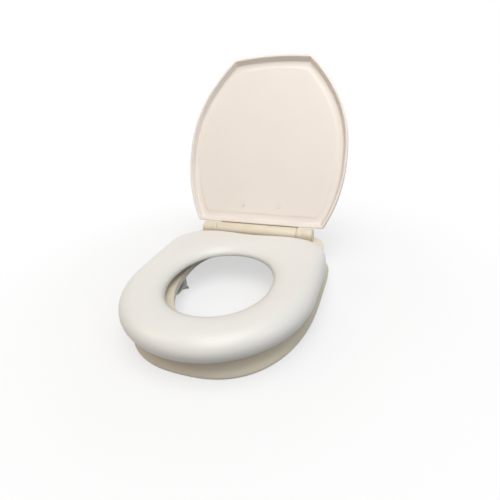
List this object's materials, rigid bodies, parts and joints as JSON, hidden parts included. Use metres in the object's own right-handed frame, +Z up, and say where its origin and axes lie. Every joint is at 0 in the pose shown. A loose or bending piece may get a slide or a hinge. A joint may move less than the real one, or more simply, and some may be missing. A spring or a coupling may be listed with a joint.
{
  "type": "raised toilet seat",
  "caption": "Raised toilet seat: a bell-shaped riser with a funnel sits on the bowl, a thick ring seat lifts off it, and a lid swings on a rear hinge barrel.",
  "frame": {"origin": "on the middle plane, on the underside of the rear rest pad, in the plane where the riser rests on the bowl's rim", "axes": "+Z up, away from the bowl; +Y towards the hinge at the back; X along the hinge axis"},
  "size_m": [0.4, 0.6325, 0.4617],
  "materials": {
    "ivory_plastic": "satin moulded, ivory",
    "seat_plastic": "satin moulded, white",
    "fitting_plastic": "matt nylon, white",
    "grey_rubber": "matt, grey",
    "ivory_rubber": "soft, ivory",
    "steel": "bright zinc"
  },
  "bodies": {
    "riser": {"riser_shell": "ivory_plastic", "base_plate": "ivory_plastic", "support_pillars": "ivory_plastic", "base_screws": "steel", "rest_pads": "grey_rubber", "hinge_rod": "steel", "hinge_collar_left": "ivory_plastic", "hinge_collar_right": "ivory_plastic", "hinge_post_left": "ivory_plastic", "hinge_post_right": "ivory_plastic", "hinge_plug_left": "ivory_plastic", "hinge_plug_right": "ivory_plastic", "hinge_screws": "steel", "hinge_washers": "steel", "clamp_studs": "steel", "clamp_washers": "steel"},
    "seat": {"seat_shell": "seat_plastic", "seat_studs": "seat_plastic", "seat_buffers": "grey_rubber"},
    "lid": {"lid_panel": "ivory_plastic", "lid_skirt": "ivory_plastic", "lid_buffers": "ivory_rubber", "lid_barrel": "ivory_plastic", "hinge_bush_left": "fitting_plastic", "hinge_bush_right": "fitting_plastic"},
    "clamp_left": {"clamp_arm_left": "fitting_plastic", "clamp_tip_left": "grey_rubber"},
    "clamp_right": {"clamp_arm_right": "fitting_plastic", "clamp_tip_right": "grey_rubber"},
    "nut_left": {"wing_nut_left": "fitting_plastic"},
    "nut_right": {"wing_nut_right": "fitting_plastic"}
  },
  "joints": [
    {"name": "lid_hinge", "type": "hinge", "parent": "riser", "child": "lid", "pos_m": [0, 0.015, 0.047], "axis": [1, 0, 0], "range_deg": [0, 117]},
    {"name": "seat_lift", "type": "slide", "parent": "riser", "child": "seat", "axis": [0, 0, 1], "range_m": [0, 0.12]},
    {"name": "clamp_left_turn", "type": "hinge", "parent": "riser", "child": "clamp_left", "pos_m": [-0.127, -0.15, -0.01], "axis": [0, 0, -1], "range_deg": [0, 90]},
    {"name": "clamp_right_turn", "type": "hinge", "parent": "riser", "child": "clamp_right", "pos_m": [0.127, -0.15, -0.01], "axis": [0, 0, 1], "range_deg": [0, 90]},
    {"name": "nut_left_turn", "type": "hinge", "parent": "riser", "child": "nut_left", "pos_m": [-0.127, -0.15, -0.025], "axis": [0, 0, 1], "continuous": true},
    {"name": "nut_right_turn", "type": "hinge", "parent": "riser", "child": "nut_right", "pos_m": [0.127, -0.15, -0.025], "axis": [0, 0, 1], "continuous": true}
  ]
}
